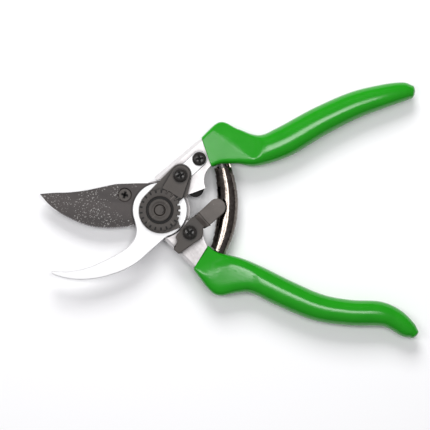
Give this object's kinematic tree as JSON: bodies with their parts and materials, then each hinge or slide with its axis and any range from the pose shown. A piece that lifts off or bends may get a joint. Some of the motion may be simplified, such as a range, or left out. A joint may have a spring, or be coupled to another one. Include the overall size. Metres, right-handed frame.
{
  "type": "pruning shears",
  "caption": "Bypass pruning shears with a curved cutting blade, hooked counter-blade, sprung coated handles, toothed pivot nut and a thumb latch.",
  "frame": {"origin": "on the pivot axis, at the bolt head's flat back, which lies on the surface the shears rest on", "axes": "+X from the pivot towards the grips, +Z from the bolt head up to the toothed nut, +Y towards the counter-blade's handle"},
  "size_m": [0.2009, 0.1358, 0.0188],
  "materials": {
    "green_coating": "glossy dipped vinyl",
    "cast_aluminium": "fine cast and brushed",
    "polished_steel": "bright polished",
    "dark_steel": "dark non-stick coat, fine speckle",
    "black_screw": "black oxide",
    "spring_steel": "dark nickel",
    "bronze": "plain bearing bronze",
    "black_rubber": "matte"
  },
  "bodies": {
    "blade_side": {"blade_handle": "cast_aluminium", "blade_handle_grip": "green_coating", "cutting_blade": "dark_steel", "blade_screw": "dark_steel", "pivot_bush": "bronze", "latch_screw": "black_screw", "latch_washer": "spring_steel", "return_spring": "spring_steel"},
    "hook_side": {"hook_handle": "cast_aluminium", "hook_handle_grip": "green_coating", "counter_blade": "polished_steel", "tang_screw": "black_screw", "pivot_bolt": "dark_steel", "thrust_washer": "bronze", "adjusting_nut": "dark_steel", "nut_spring_washer": "spring_steel", "lock_plate": "dark_steel", "lock_segment": "dark_steel", "lock_segment_screw": "black_screw", "bumper": "black_rubber"},
    "latch": {"latch_lever": "dark_steel"}
  },
  "joints": [
    {"name": "jaw_hinge", "type": "hinge", "parent": "blade_side", "child": "hook_side", "pos_m": [0, 0, 0.008], "axis": [0, 0, -1], "range_deg": [0, 38], "stiffness_Nm_per_rad": 1.5, "springref_deg": -11.46, "deforming": ["return_spring"]},
    {"name": "latch_pivot", "type": "hinge", "parent": "blade_side", "child": "latch", "pos_m": [0.0158, -0.0118, 0.0162], "axis": [0, 0, -1], "range_deg": [0, 42]}
  ]
}
